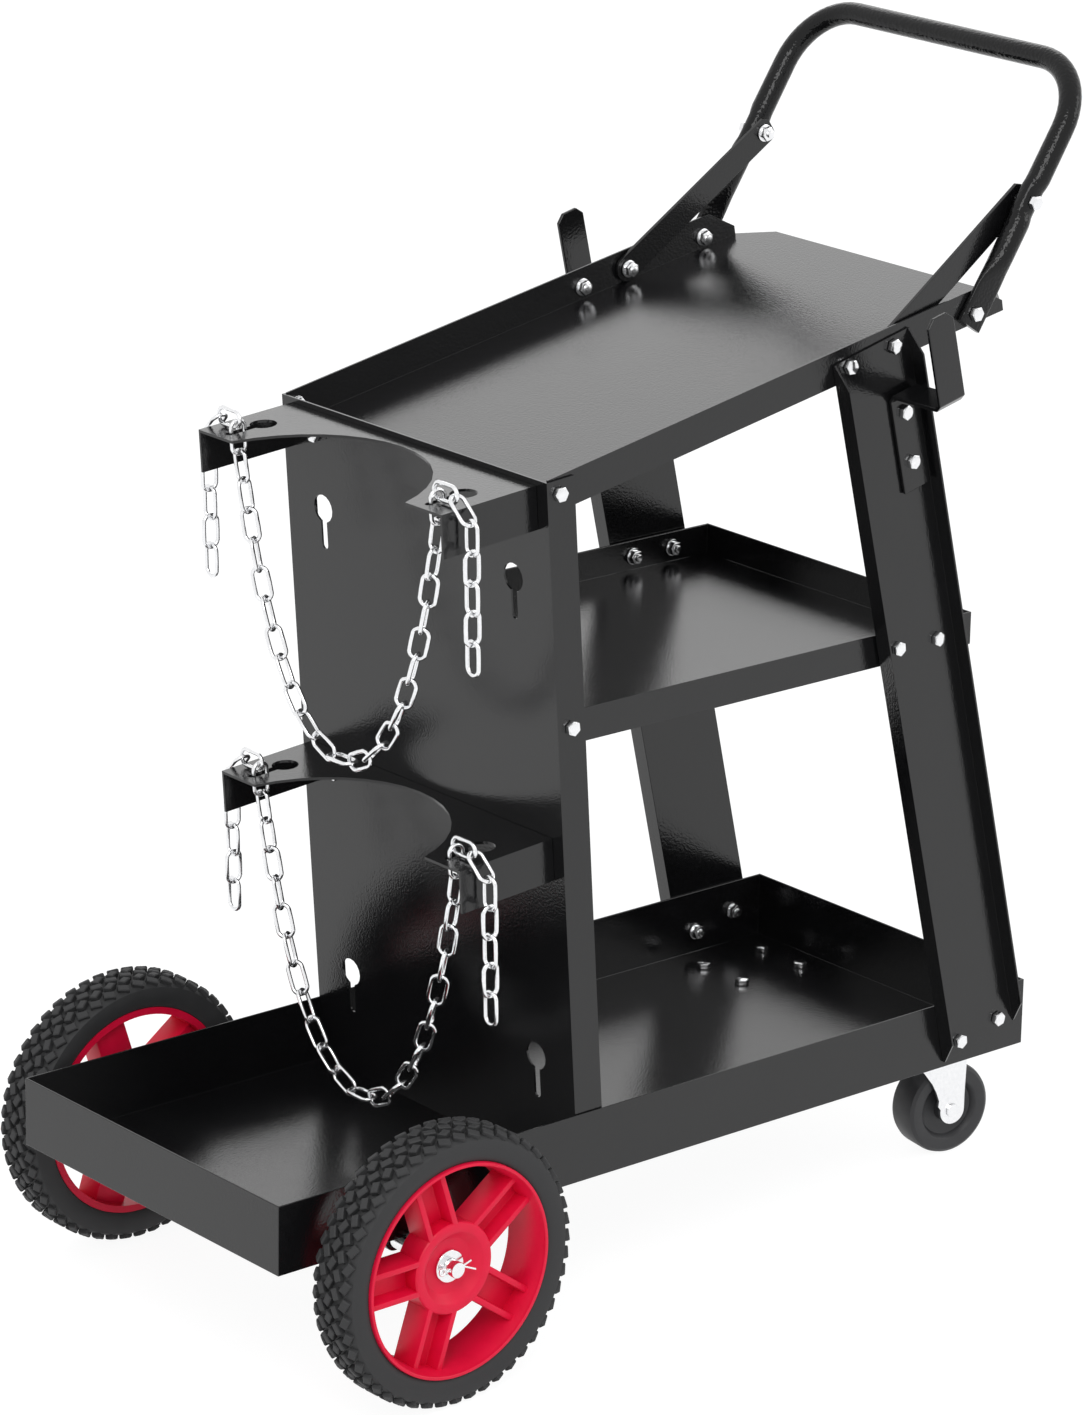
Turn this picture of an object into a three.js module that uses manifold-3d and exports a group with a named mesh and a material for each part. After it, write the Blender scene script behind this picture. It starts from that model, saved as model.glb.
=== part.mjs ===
// Welding cart, millimetres, +X towards the handle, +Y to the left of someone pushing it, +Z up.
// The pieces are laid out on the bottom tray's own axes: X = 0 at the bottle end, Z = 0 under the floor.
// At the end the whole cart is tipped by the small angle at which it stands and set down on the ground.
import * as THREE from 'three';
import { mergeVertices } from 'three/addons/utils/BufferGeometryUtils.js';
import Module from 'manifold-3d';

const wasm = await Module();
wasm.setup();

// Stance and general sheet-metal values
const STANCE_DEG = 1.71; // the bottom tray dips towards the handle
const SHEET = 1.5;
const PLAY = 0.3; // air left between neighbouring pieces

// Bottom tray
const BASE_LENGTH = 718;
const BASE_WIDTH = 300;
const BASE_WALL = 52;

// Back panel with its two side flanges, which are the posts
const PANEL_TOP_X = 231.5;
const PANEL_TOP_Z = 527;
const PANEL_LEAN_DEG = 4.49;
const PANEL_WIDTH = 296.4;
const POST_DEPTH = 25;
const PANEL_KEY_Y = 107;
const PANEL_KEY_HEAD = 10.5;
const PANEL_KEY_SLOT = 6.5;
const PANEL_KEYS = [[-78, -109], [-443, -475.6]];

// Middle and top trays, which fit between the posts
const SHELF_WIDTH = 292.8;
const SHELF_WALL = 25;
const MIDDLE_START = 248.8;
const MIDDLE_END = 648.3;
const MIDDLE_Z = 332.5;
const TOP_SLOPE_DEG = 10.65;
const TOP_START_X = 238.2;
const TOP_START_Z = 503.1;
const TOP_LENGTH = 457;
const TOP_CORNER = [20, 26]; // cut off the handle end's corners, along and across

// Legs: U-channels with the flanges outwards
const LEG_FOOT_X = 634;
const LEG_FOOT_Y = 150.3;
const LEG_FOOT_Z = 4.6;
const LEG_LEAN_DEG = 13.55;
const LEG_SPLAY_DEG = 0.36;
const LEG_LENGTH = 580;
const LEG_WIDTH = 75;
const LEG_FLANGE = 14;
const LEG_END_CUT = 20;

// Cable hooks, measured along the leg from its foot and across it from its rear edge
const HOOK_STRAP = [45, 70];
const HOOK_FOOT = 459.6;
const HOOK_SHELF = 539;
const HOOK_TOP = 607.5;
const HOOK_REACH = 57;
const HOOK_THICK = 3;

// Bottle brackets, measured on the back panel
const BRACKET_HALF = 137;
const BRACKET_DEPTH = 84.1;
const BRACKET_FLANGE = 32;
const BRACKET_SHEET = 2;
const CRADLE_RADIUS = 101;
const CRADLE_CENTRE = 110;
const ARM_KEY_Y = 112.5;
const ARM_KEY_DEPTH = 44.6;
const ARM_KEY_HEAD = 10;
const ARM_SLOT_WIDTH = 6.4;
const ARM_SLOT_END = 78;
const BRACKET_DROPS = { upper: 4, lower: 265.8 };

// Handle tube and its braces
const TUBE_RADIUS = 8.75;
const TUBE_WALL = 1.2;
const TUBE_Y = 149;
const HANDLE_FOOT = [630, 577.9];
const HANDLE_CORNER = [745, 754.1];
const HANDLE_BEND = 50;
const LUG_HALF_WIDTH = 11.5;
const LUG_HALF_THICK = 2.5;
const BRACE_LOWER = [555.5, 574.7];
const BRACE_AT = 102;
const BRACE_TOP_Y = 139; // outer face of the brace at the handle bolt
const TUBE_DENT = 3; // how far the tube's outer side is pressed in at the brace bolt
const BRACE_WIDTH = 20;
const BRACE_THICK = 3;

// Axle and big wheels
const AXLE_X = 116.4;
const AXLE_Z = -8.2;
const AXLE_RADIUS = 6;
const AXLE_LENGTH = 411;
const CLAMP_Y = 120;
const CLAMP_WIDTH = 28;
const WHEEL_Y = 186.35;
const TYRE_RADIUS = 103;
const TYRE_HALF_WIDTH = 20.35;
const RIM_RADIUS = 79.7;
const HUB_RADIUS = 34;
const SPOKES = 5;

// Casters
const SWIVEL_X = 661.5;
const SWIVEL_Y = 95;
const SWIVEL_DEG = 9.4;
const CASTER_TRAIL = 22.3;
const CASTER_AXLE_Z = -57.7;
const CASTER_RADIUS = 36.55;
const CASTER_WIDTH = 28;

// Chain
const WIRE = 3.2;
const LINK_PITCH = 21.5;
const LINK_WIDTH = 14;
const LINK_BITE = 0.4;
const LOOP_LINKS = 23;
const TAIL_LINKS = 5;
const CHAIN_DEPTH = 67.5; // where the chain sits in the arm's slot, from the panel
const EDGE_LINK_DEG = 45;
const HANG_SLACK = 3.4; // how far a hanging run sits above the wire that carries it

// Hex bolts
const BOLT_RADIUS = 3;
const BOLT_HOLE = 3.5;
const BOLT_HEX = 5.77; // corner radius of a 10 mm hexagon
const BOLT_HEAD = 4;
const BOLT_NUT = 5;

const blackCoat = new THREE.MeshStandardMaterial({ color: 0x1b1b1d, roughness: 0.35, metalness: 0.1 });
const hammertone = new THREE.MeshStandardMaterial({ color: 0x202022, roughness: 0.45, metalness: 0.2 });
const zinc = new THREE.MeshStandardMaterial({ color: 0xc9ccd0, roughness: 0.3, metalness: 0.9 });
const redRim = new THREE.MeshStandardMaterial({ color: 0xc8102e, roughness: 0.4 });
const tyreRubber = new THREE.MeshStandardMaterial({ color: 0x2b2b2b, roughness: 0.9 });
const casterGrey = new THREE.MeshStandardMaterial({ color: 0x3c3d40, roughness: 0.7 });

const rad = THREE.MathUtils.degToRad;
const cart = new THREE.Group();
cart.name = 'welding_cart';

// Boolean helpers on closed geometries
function solid(geometry) {
  const bare = geometry.clone();
  bare.deleteAttribute('normal');
  bare.deleteAttribute('uv');
  const merged = mergeVertices(bare, 1e-4);
  return new wasm.Manifold(new wasm.Mesh({
    numProp: 3,
    vertProperties: new Float32Array(merged.attributes.position.array),
    triVerts: new Uint32Array(merged.index.array),
  }));
}

function join(...geometries) {
  return geometries.map(solid).reduce((sum, piece) => sum.add(piece));
}

function cut(body, ...geometries) {
  return geometries.map(solid).reduce((left, piece) => left.subtract(piece), body);
}

function addPart(name, shape, material, parent) {
  let geometry = shape;
  if (!shape.isBufferGeometry) {
    const mesh = shape.getMesh();
    geometry = new THREE.BufferGeometry();
    geometry.setAttribute('position', new THREE.BufferAttribute(new Float32Array(mesh.vertProperties), 3));
    geometry.setIndex(new THREE.BufferAttribute(new Uint32Array(mesh.triVerts), 1));
    geometry.computeVertexNormals();
  }
  const part = new THREE.Mesh(geometry, material);
  part.name = name;
  parent.add(part);
  return part;
}

// A group placed on the cart's axes; lean tips its top towards the bottle end, splay tips it sideways.
function frameAt(x, y, z, leanDeg = 0, splayDeg = 0) {
  const group = new THREE.Group();
  group.position.set(x, y, z);
  group.rotation.set(rad(splayDeg), -rad(leanDeg), 0);
  cart.add(group);
  group.updateMatrixWorld(true);
  return group;
}

function block(x0, x1, y0, y1, z0, z1) {
  const box = new THREE.BoxGeometry(Math.abs(x1 - x0), Math.abs(y1 - y0), Math.abs(z1 - z0));
  return box.translate((x0 + x1) / 2, (y0 + y1) / 2, (z0 + z1) / 2);
}

function outline(points) {
  return new THREE.Shape(points.map(([a, b]) => new THREE.Vector2(a, b)));
}

// Prisms: a plan in XY raised along Z, a side view in XZ spread along Y, an end view in YZ spread along X
function raise(shape, z0, z1) {
  const geometry = new THREE.ExtrudeGeometry(shape, { depth: z1 - z0, bevelEnabled: false, curveSegments: 8 });
  return geometry.translate(0, 0, z0);
}

function spreadY(shape, ya, yb) {
  const geometry = raise(shape, 0, Math.abs(yb - ya));
  return geometry.rotateX(Math.PI / 2).translate(0, Math.max(ya, yb), 0);
}

function spreadX(shape, xa, xb) {
  const geometry = raise(shape, 0, xb - xa);
  return geometry.rotateX(Math.PI / 2).rotateZ(Math.PI / 2).translate(xa, 0, 0);
}

function rodY(radius, y0, y1, x, z, sides = 8) {
  const rod = new THREE.CylinderGeometry(radius, radius, Math.abs(y1 - y0), sides);
  return rod.translate(x, (y0 + y1) / 2, z);
}

function rodZ(radius, z0, z1, x, y, sides = 12) {
  const rod = new THREE.CylinderGeometry(radius, radius, z1 - z0, sides);
  return rod.rotateX(Math.PI / 2).translate(x, y, (z0 + z1) / 2);
}

function turned(profile, sides) {
  const points = [...profile, profile[0]].map(([r, y]) => new THREE.Vector2(r, y));
  return new THREE.LatheGeometry(points, sides);
}

// A bolt hole drilled across the cart at a place given on the cart's axes
function boltHole(frame, x, y, z) {
  const at = frame.worldToLocal(new THREE.Vector3(x, y, z));
  return rodY(BOLT_HOLE, at.y - 12, at.y + 12, at.x, at.z);
}

// Keyhole: round head with a narrow slot, both as cutters that run through a sheet
function keyhole(headRadius, slotWidth, headAt, slotEnd) {
  const slotRound = slotEnd - Math.sign(slotEnd - headAt) * slotWidth / 2;
  const head = new THREE.Shape().absarc(headAt, 0, headRadius, 0, 2 * Math.PI);
  const slot = outline([
    [headAt, -slotWidth / 2], [slotRound, -slotWidth / 2], [slotRound, slotWidth / 2], [headAt, slotWidth / 2],
  ]);
  const end = new THREE.Shape().absarc(slotRound, 0, slotWidth / 2, 0, 2 * Math.PI);
  return [head, slot, end];
}

// Bolts: name, place on the cart's axes, where the head and the nut bear on the sheets
const handleDirection = new THREE.Vector2(
  HANDLE_CORNER[0] - HANDLE_FOOT[0],
  HANDLE_CORNER[1] - HANDLE_FOOT[1],
).normalize();
const onHandle = (s) => [HANDLE_FOOT[0] + s * handleDirection.x, HANDLE_FOOT[1] + s * handleDirection.y];
const shelfInside = SHELF_WIDTH / 2 - SHEET - PLAY;
const postOutside = PANEL_WIDTH / 2 + PLAY;
const bolts = {
  post_top: { at: [242.6, 518], head: postOutside, nut: shelfInside },
  post_middle: { at: [257.6, 346], head: postOutside, nut: shelfInside },
  leg_top_rear: { at: [513, 566], head: 149, nut: shelfInside },
  leg_top_front: { at: BRACE_LOWER, head: 149, nut: shelfInside - BRACE_THICK - 1 },
  handle_lug: { at: [633.5, 587.5], head: 152, nut: shelfInside },
  brace_top: {
    at: onHandle(BRACE_AT), head: TUBE_Y + TUBE_RADIUS - TUBE_DENT + PLAY, nut: BRACE_TOP_Y - BRACE_THICK - 0.6,
  },
};

for (const [name, { at: [x, z], head, nut }] of Object.entries(bolts)) {
  for (const [suffix, side] of [['left', 1], ['right', -1]]) {
    const shank = rodY(BOLT_RADIUS, side * (nut - BOLT_NUT - 2), side * (head + 1), x, z);
    const hexHead = rodY(BOLT_HEX, side * head, side * (head + BOLT_HEAD), x, z, 6);
    const hexNut = rodY(BOLT_HEX, side * (nut - BOLT_NUT), side * nut, x, z, 6);
    addPart(`bolt_${name}_${suffix}`, join(shank, hexHead, hexNut), zinc, cart);
  }
}

// Bottom tray: floor with four walls
{
  const half = BASE_WIDTH / 2;
  const outside = block(0, BASE_LENGTH, -half, half, 0, BASE_WALL);
  const inside = block(SHEET, BASE_LENGTH - SHEET, SHEET - half, half - SHEET, SHEET, BASE_WALL + 10);
  addPart('bottom_tray', cut(solid(outside), inside), blackCoat, cart);
}

// Middle tray: level, four low walls
{
  const half = SHELF_WIDTH / 2;
  const outside = block(MIDDLE_START, MIDDLE_END, -half, half, MIDDLE_Z, MIDDLE_Z + SHELF_WALL);
  const inside = block(
    MIDDLE_START + SHEET, MIDDLE_END - SHEET, SHEET - half, half - SHEET, MIDDLE_Z + SHEET, MIDDLE_Z + 40,
  );
  const [x, z] = bolts.post_middle.at;
  const holes = [1, -1].map((side) => boltHole(cart, x, side * half, z));
  addPart('middle_tray', cut(solid(outside), inside, ...holes), blackCoat, cart);
}

// Top tray: rises towards the handle, two side walls, open handle end with cut corners
{
  const frame = frameAt(TOP_START_X, 0, TOP_START_Z, TOP_SLOPE_DEG);
  const half = SHELF_WIDTH / 2;
  const [along, across] = TOP_CORNER;
  const wallEnd = TOP_LENGTH - along;
  const floor = raise(outline([
    [0, -half], [wallEnd, -half], [TOP_LENGTH, across - half],
    [TOP_LENGTH, half - across], [wallEnd, half], [0, half],
  ]), 0, SHEET);
  const wallSide = outline([
    [0.3, 0], [wallEnd, 0], [wallEnd, 8], [wallEnd - 24, SHELF_WALL + 0.5], [0.3, SHELF_WALL + 0.5],
  ]);
  const walls = [1, -1].map((side) => spreadY(wallSide, side * (half - SHEET), side * half));
  const holes = [];
  for (const key of ['post_top', 'leg_top_rear', 'leg_top_front', 'handle_lug']) {
    const [x, z] = bolts[key].at;
    holes.push(boltHole(frame, x, half, z), boltHole(frame, x, -half, z));
  }
  addPart('top_tray', cut(join(floor, ...walls), ...holes), blackCoat, frame);
}

// Back panel, leaning towards the bottle; its frame starts at the top front edge
const panelFrame = frameAt(PANEL_TOP_X, 0, PANEL_TOP_Z, PANEL_LEAN_DEG);
{
  const half = PANEL_WIDTH / 2;
  const height = (PANEL_TOP_Z - SHEET - PLAY) / Math.cos(rad(PANEL_LEAN_DEG));
  const front = block(0, SHEET, -half, half, -height, 0);
  const posts = [1, -1].map((side) => block(0, POST_DEPTH, side * (half - SHEET), side * half, -height, 0));
  const holes = [];
  for (const [head, end] of PANEL_KEYS) {
    for (const side of [1, -1]) {
      const shapes = keyhole(PANEL_KEY_HEAD, PANEL_KEY_SLOT, head, end);
      const cutters = shapes.map((shape) => raise(shape, -5, 5).rotateY(-Math.PI / 2));
      holes.push(...cutters.map((cutter) => cutter.translate(0, side * PANEL_KEY_Y, 0)));
    }
  }
  for (const key of ['post_top', 'post_middle']) {
    const [x, z] = bolts[key].at;
    holes.push(boltHole(panelFrame, x, half, z), boltHole(panelFrame, x, -half, z));
  }
  addPart('back_panel', cut(join(front, ...posts), ...holes), blackCoat, panelFrame);
}

// Bottle brackets: plate with a round cut-out and keyhole arms, side flanges and back flange
for (const [level, drop] of Object.entries(BRACKET_DROPS)) {
  const tip = Math.acos((CRADLE_CENTRE - BRACKET_DEPTH) / CRADLE_RADIUS);
  const plan = outline([[-PLAY, -BRACKET_HALF], [-PLAY, BRACKET_HALF], [-BRACKET_DEPTH, BRACKET_HALF]]);
  plan.absarc(-CRADLE_CENTRE, 0, CRADLE_RADIUS, tip, -tip, true);
  plan.lineTo(-BRACKET_DEPTH, -BRACKET_HALF);
  const plate = raise(plan, -BRACKET_SHEET, 0);
  const inner = BRACKET_HALF - BRACKET_SHEET;
  const sides = [1, -1].map((side) => (
    block(-BRACKET_DEPTH, -PLAY, side * inner, side * BRACKET_HALF, -BRACKET_FLANGE, 0)
  ));
  const back = block(-PLAY - BRACKET_SHEET, -PLAY, -BRACKET_HALF, BRACKET_HALF, -BRACKET_FLANGE, 0);
  const keys = [];
  for (const side of [1, -1]) {
    const shapes = keyhole(ARM_KEY_HEAD, ARM_SLOT_WIDTH, -ARM_KEY_DEPTH, -ARM_SLOT_END);
    keys.push(...shapes.map((shape) => raise(shape, -5, 5).translate(0, side * ARM_KEY_Y, 0)));
  }
  const bracket = addPart(
    `bottle_bracket_${level}`, cut(join(plate, ...sides, back), ...keys), blackCoat, panelFrame,
  );
  bracket.position.z = -drop;
}

// Legs and cable hooks share a frame whose Z runs up the leg and whose X runs across its web
for (const [suffix, side] of [['left', 1], ['right', -1]]) {
  const frame = frameAt(LEG_FOOT_X, side * LEG_FOOT_Y, LEG_FOOT_Z, LEG_LEAN_DEG, side * LEG_SPLAY_DEG);
  const web = block(0, LEG_WIDTH, 0, side * SHEET, 0, LEG_LENGTH);
  const flanges = [0, LEG_WIDTH - SHEET].map((x) => block(x, x + SHEET, 0, side * LEG_FLANGE, 0, LEG_LENGTH));
  const ends = [[0, 1], [LEG_LENGTH, -1]].map(([z, up]) => spreadX(outline([
    [side * SHEET, z - up], [side * (LEG_FLANGE + 1), z - up], [side * (LEG_FLANGE + 1), z + up * LEG_END_CUT],
  ]), -1, LEG_WIDTH + 1));
  const holes = ['leg_top_rear', 'leg_top_front'].map((key) => (
    boltHole(frame, bolts[key].at[0], side * 147.5, bolts[key].at[1])
  ));
  addPart(`leg_${suffix}`, cut(join(web, ...flanges), ...ends, ...holes), blackCoat, frame);

  const near = SHEET + PLAY;
  const strip = outline([
    [near, HOOK_FOOT], [near + HOOK_THICK, HOOK_FOOT],
    [near + HOOK_THICK, HOOK_SHELF - HOOK_THICK - 3], [near + HOOK_THICK + 3, HOOK_SHELF - HOOK_THICK],
    [HOOK_REACH - 5, HOOK_SHELF - HOOK_THICK], [HOOK_REACH, HOOK_SHELF - HOOK_THICK + 5],
    [HOOK_REACH, HOOK_TOP], [HOOK_REACH - HOOK_THICK, HOOK_TOP],
    [HOOK_REACH - HOOK_THICK, HOOK_SHELF + 3], [HOOK_REACH - HOOK_THICK - 3, HOOK_SHELF],
    [near + 5, HOOK_SHELF], [near, HOOK_SHELF - 5],
  ].map(([out, up]) => [side * out, up]));
  const [rear, front] = HOOK_STRAP;
  const corners = [[rear, 1], [front, -1]].map(([x, inward]) => spreadY(outline([
    [x - inward, HOOK_TOP + 1], [x + inward * 7, HOOK_TOP + 1], [x - inward, HOOK_TOP - 7],
  ]), side * (HOOK_REACH - 8), side * (HOOK_REACH + 4)));
  addPart(`cable_hook_${suffix}`, cut(solid(spreadX(strip, rear, front)), ...corners), blackCoat, frame);
}

// Handle: one bent tube, flattened at its feet and pressed in where the braces are bolted on
{
  const leg = new THREE.Vector3(handleDirection.x, 0, handleDirection.y);
  const across = new THREE.Vector3(handleDirection.y, 0, -handleDirection.x);
  const corner = new THREE.Vector3(HANDLE_CORNER[0], 0, HANDLE_CORNER[1]);
  const foot = new THREE.Vector3(HANDLE_FOOT[0], 0, HANDLE_FOOT[1]);
  const straight = foot.distanceTo(corner) - HANDLE_BEND;
  const round = { half: TUBE_RADIUS, thick: TUBE_RADIUS, blunt: 1, shift: 0 };
  const flat = { half: LUG_HALF_WIDTH, thick: LUG_HALF_THICK, blunt: 0.4, shift: 0 };
  const dent = { half: TUBE_RADIUS, thick: TUBE_RADIUS - TUBE_DENT / 2, blunt: 0.9, shift: -TUBE_DENT / 2 };
  const rings = [
    [0, flat], [36, flat], [54, round], [85, round], [93, dent], [111, dent], [119, round], [straight, round],
  ].map(([s, section]) => ({
    centre: foot.clone().addScaledVector(leg, s).setY(TUBE_Y + section.shift),
    out: new THREE.Vector3(0, 1, 0),
    section,
  }));
  for (let i = 1; i <= 4; i += 1) {
    const turn = (i / 4) * Math.PI / 2;
    const out = new THREE.Vector3(0, Math.cos(turn), 0).addScaledVector(leg, Math.sin(turn));
    const hub = corner.clone().addScaledVector(leg, -HANDLE_BEND).setY(TUBE_Y - HANDLE_BEND);
    rings.push({ centre: hub.addScaledVector(out, HANDLE_BEND), out, section: round });
  }
  const mirrored = rings.map(({ centre, out, section }) => ({
    centre: centre.clone().setY(-centre.y),
    out: out.clone().setY(-out.y),
    section,
  })).reverse();
  const sides = 8;
  const stations = [...rings, ...mirrored];
  const positions = [];
  for (const wall of [0, TUBE_WALL]) {
    for (const { centre, out, section } of stations) {
      for (let k = 0; k < sides; k += 1) {
        const angle = ((k + 0.5) / sides) * 2 * Math.PI;
        const c = Math.cos(angle);
        const s = Math.sin(angle);
        const a = (section.half - wall) * Math.sign(c) * Math.abs(c) ** section.blunt;
        const b = (section.thick - wall) * Math.sign(s) * Math.abs(s) ** section.blunt;
        const point = centre.clone().addScaledVector(across, a).addScaledVector(out, b);
        positions.push(point.x, point.y, point.z);
      }
    }
  }
  const skin = stations.length * sides;
  const last = skin - sides;
  const faces = [];
  const quad = (a, b, c, d) => faces.push(a, b, c, a, c, d);
  for (let i = 0; i + 1 < stations.length; i += 1) {
    for (let k = 0; k < sides; k += 1) {
      const next = (k + 1) % sides;
      const [a, b, c, d] = [i * sides + k, i * sides + next, (i + 1) * sides + next, (i + 1) * sides + k];
      quad(a, b, c, d);
      quad(skin + d, skin + c, skin + b, skin + a);
    }
  }
  for (let k = 0; k < sides; k += 1) {
    const next = (k + 1) % sides;
    quad(k, skin + k, skin + next, next);
    quad(last + next, skin + last + next, skin + last + k, last + k);
  }
  const tube = new THREE.BufferGeometry();
  tube.setAttribute('position', new THREE.BufferAttribute(new Float32Array(positions), 3));
  tube.setIndex(faces);
  const holes = [];
  for (const key of ['handle_lug', 'brace_top']) {
    const [x, z] = bolts[key].at;
    holes.push(boltHole(cart, x, TUBE_Y, z), boltHole(cart, x, -TUBE_Y, z));
  }
  addPart('handle_tube', cut(solid(tube), ...holes), hammertone, cart);
}

// Brace bars from the tray walls to the handle
for (const [suffix, side] of [['left', 1], ['right', -1]]) {
  const [x0, z0] = BRACE_LOWER;
  const [x1, z1] = onHandle(BRACE_AT);
  const angle = Math.atan2(z1 - z0, x1 - x0);
  const half = BRACE_WIDTH / 2;
  const length = Math.hypot(x1 - x0, z1 - z0);
  const bar = outline([
    [length + 5, -half], [length + 9, 4 - half], [length + 9, half - 4], [length + 5, half],
  ]);
  bar.absarc(0, 0, half, Math.PI / 2, Math.PI * 1.5, false);
  const plate = spreadY(bar, -side * BRACE_THICK, 0);
  const inward = Math.atan2(shelfInside - BRACE_TOP_Y, length);
  plate.rotateZ(-side * inward).rotateY(-angle).translate(x0, side * (shelfInside - 0.4), z0);
  const bore = [[x0, z0], [x1, z1]].map(([x, z]) => boltHole(cart, x, side * shelfInside, z));
  addPart(`handle_brace_${suffix}`, cut(solid(plate), ...bore), hammertone, cart);
}

// Axle rod with a cross hole near each end, and the two clamps that hold it under the floor
{
  const rod = rodY(AXLE_RADIUS, -AXLE_LENGTH / 2, AXLE_LENGTH / 2, AXLE_X, AXLE_Z, 24);
  const pinHoles = [1, -1].map((side) => rodZ(2, AXLE_Z - 10, AXLE_Z + 10, AXLE_X, side * 199.5, 10));
  addPart('axle_rod', cut(solid(rod), ...pinHoles), zinc, cart);
}
for (const [suffix, side] of [['left', 1], ['right', -1]]) {
  const bore = AXLE_RADIUS + 0.4;
  const wrap = bore + 2.5;
  const ear = -AXLE_Z - PLAY;
  const strap = outline([[-32, ear], [-bore, ear], [-bore, 0]]);
  strap.absarc(0, 0, bore, Math.PI, 2 * Math.PI, false);
  const clampEar = [[bore, ear], [32, ear], [32, ear - 2.5], [wrap, ear - 2.5], [wrap, 0]];
  clampEar.forEach(([x, z]) => strap.lineTo(x, z));
  strap.absarc(0, 0, wrap, 0, -Math.PI, true);
  [[-wrap, ear - 2.5], [-32, ear - 2.5]].forEach(([x, z]) => strap.lineTo(x, z));
  const clamp = spreadY(strap, -CLAMP_WIDTH / 2, CLAMP_WIDTH / 2);
  addPart(`axle_clamp_${suffix}`, clamp, blackCoat, cart).position.set(AXLE_X, side * CLAMP_Y, AXLE_Z);
}

// Big wheels: local Y points out of the cart; the rim carries the hub and five ribbed spokes
for (const [suffix, side] of [['left', 1], ['right', -1]]) {
  const wheel = frameAt(AXLE_X, side * WHEEL_Y, AXLE_Z);
  wheel.rotation.z = side > 0 ? 0 : Math.PI;
  const barrel = turned([
    [RIM_RADIUS - 5, -18], [RIM_RADIUS, -18], [RIM_RADIUS, 18.6], [RIM_RADIUS - 1, 19.6],
    [RIM_RADIUS - 3, 19.6], [RIM_RADIUS - 5, 14],
  ], 32);
  const hub = turned([
    [AXLE_RADIUS + 0.5, -26], [12, -26], [14, -10], [HUB_RADIUS, -10], [HUB_RADIUS, 12], [HUB_RADIUS - 1, 13],
    [26.5, 13], [24.5, 6.7], [AXLE_RADIUS + 0.5, 6.7],
  ], 20);
  const spokes = [];
  const channels = [];
  for (let i = 0; i < SPOKES; i += 1) {
    const turn = (i / SPOKES + 0.25) * 2 * Math.PI;
    const angle = side > 0 ? turn : -turn;
    const spoke = block(-13.5, 13.5, -10, 12.7, -RIM_RADIUS + 3.5, 5 - HUB_RADIUS);
    const channel = block(-9.2, 9.2, 1, 20, -RIM_RADIUS + 6, -HUB_RADIUS - 0.2);
    spokes.push(spoke.rotateY(angle));
    channels.push(channel.rotateY(angle));
  }
  addPart(`wheel_rim_${suffix}`, cut(join(barrel, hub, ...spokes), ...channels), redRim, wheel);
  const tread = turned([
    [RIM_RADIUS + PLAY, -18], [86, -TYRE_HALF_WIDTH], [97, -TYRE_HALF_WIDTH], [101.5, -17], [TYRE_RADIUS, -9],
    [TYRE_RADIUS, 9], [101.5, 17], [97, TYRE_HALF_WIDTH], [86, TYRE_HALF_WIDTH], [RIM_RADIUS + PLAY, 18],
  ], 32);
  addPart(`wheel_tyre_${suffix}`, tread, tyreRubber, wheel);

  const washer = turned([[AXLE_RADIUS + 0.4, 7], [12, 7], [12, 8.8], [AXLE_RADIUS + 0.4, 8.8]], 24);
  addPart(`axle_washer_${suffix}`, washer, zinc, wheel);
  const spacer = turned([[AXLE_RADIUS + 0.4, -34], [9, -34], [9, -26.4], [AXLE_RADIUS + 0.4, -26.4]], 20);
  addPart(`axle_spacer_${suffix}`, spacer, zinc, wheel);
  const pinBody = rodZ(1.6, -10, 11, 0, 13.15, 10);
  const pinEye = new THREE.TorusGeometry(3, 1.4, 6, 12).rotateY(Math.PI / 2).translate(0, 13.15, 13.5);
  addPart(`split_pin_${suffix}`, join(pinBody, pinEye), zinc, wheel);
}

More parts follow.
